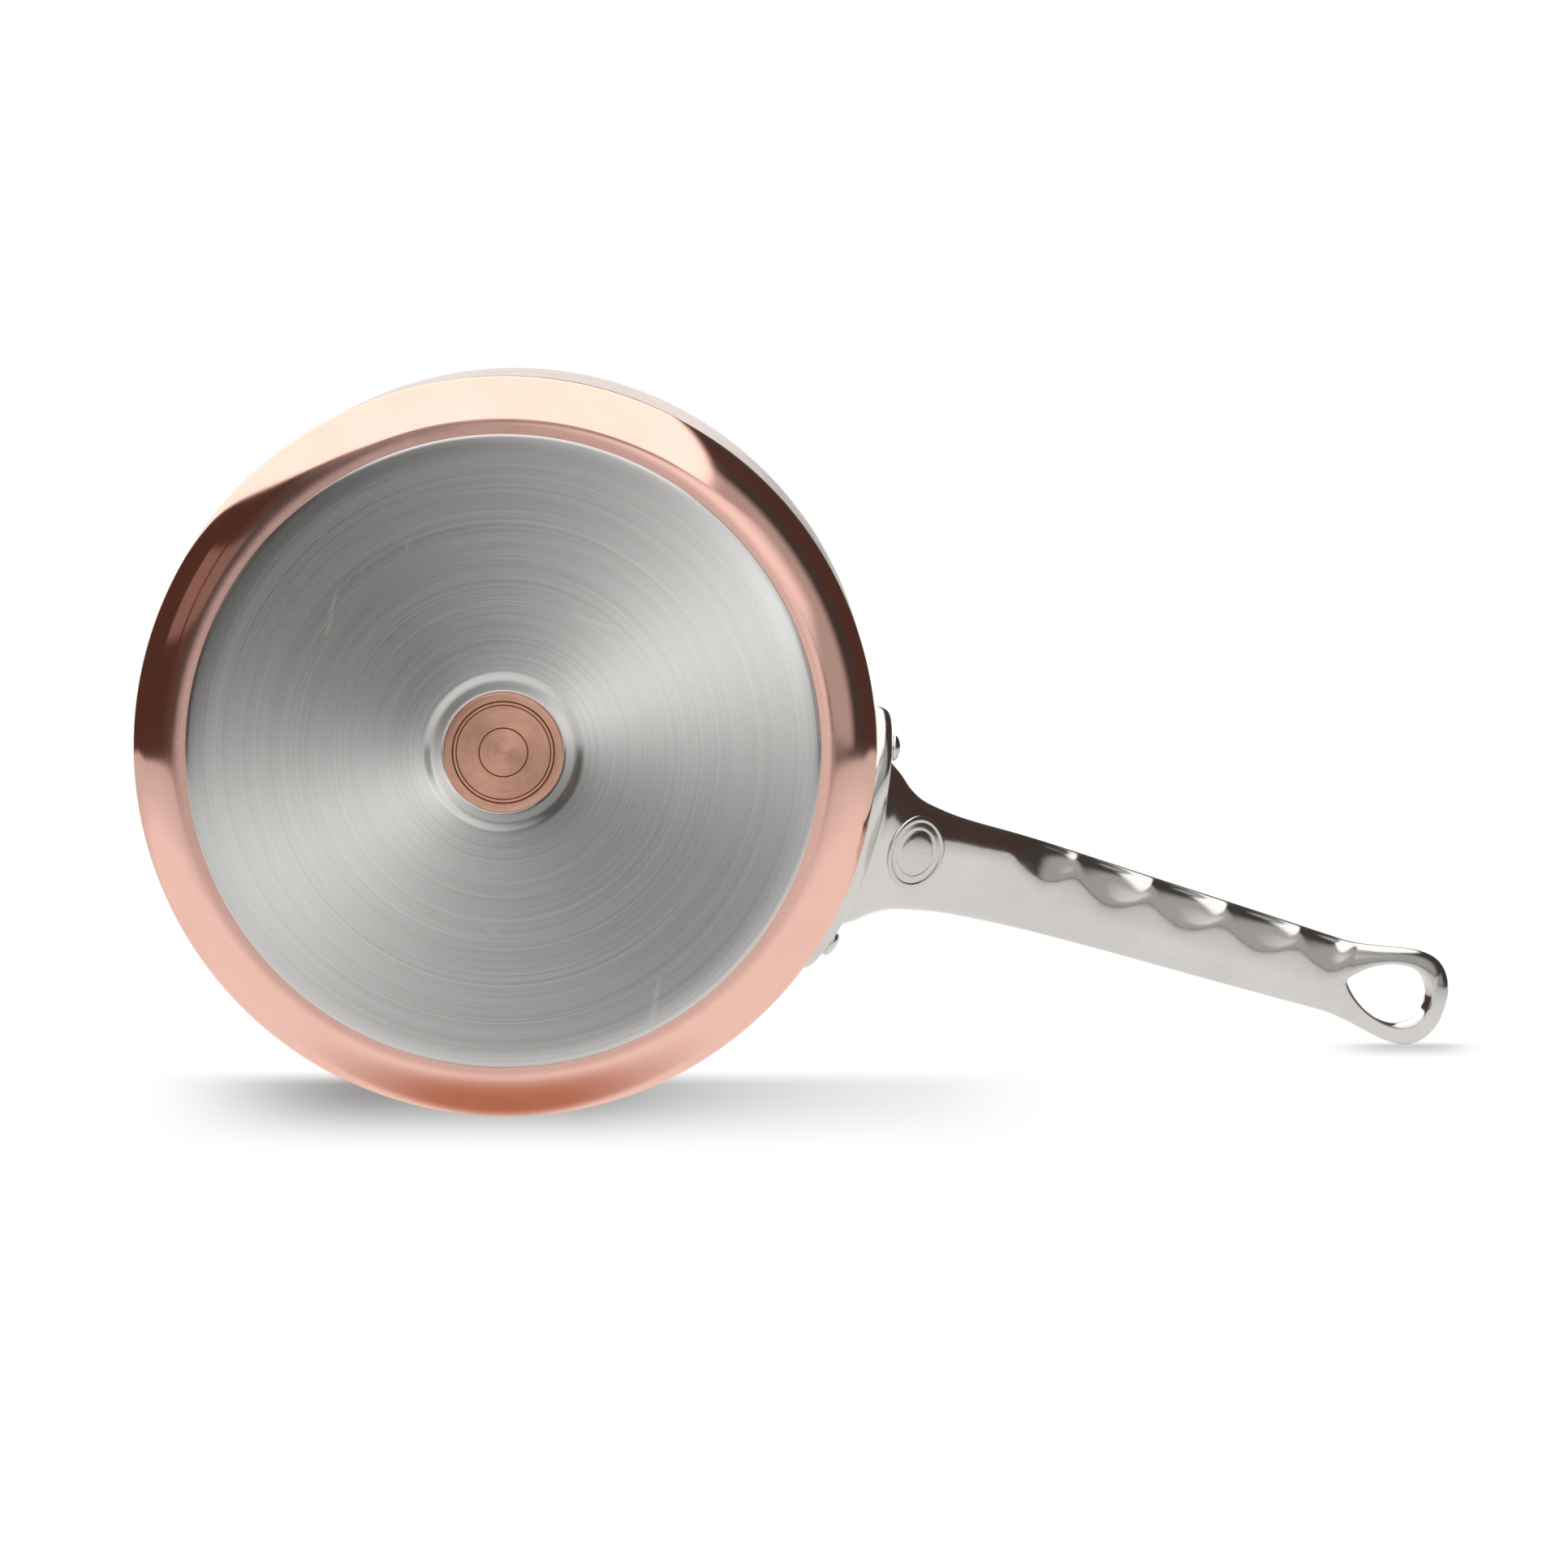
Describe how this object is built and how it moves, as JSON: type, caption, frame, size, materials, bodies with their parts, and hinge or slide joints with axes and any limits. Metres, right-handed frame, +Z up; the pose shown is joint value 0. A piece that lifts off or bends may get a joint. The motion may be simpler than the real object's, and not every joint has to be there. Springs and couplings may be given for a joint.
{
  "type": "saucepan",
  "caption": "Copper saucepan, 20 cm class, lined with stainless steel, with a magnetic steel base plate for induction hobs and a riveted cast steel handle with a hanging eye.",
  "frame": {"origin": "centre of the underside of the base, on the surface that the pan stands on", "axes": "+Z up out of the pan, +X along the handle, +Y to the left seen from the pan towards the handle's end"},
  "size_m": [0.3868, 0.203, 0.1499],
  "materials": {
    "copper": "polished",
    "copper_satin": "satin",
    "lining_steel": "brushed",
    "plate_steel": "brushed",
    "cast_steel": "polished",
    "rivet_steel": "polished"
  },
  "bodies": {
    "root": {"copper_body": "copper", "steel_lining": "lining_steel", "induction_plate": "plate_steel", "centre_disc": "copper_satin", "handle": "cast_steel", "rivet_left": "rivet_steel", "rivet_right": "rivet_steel"}
  },
  "joints": []
}
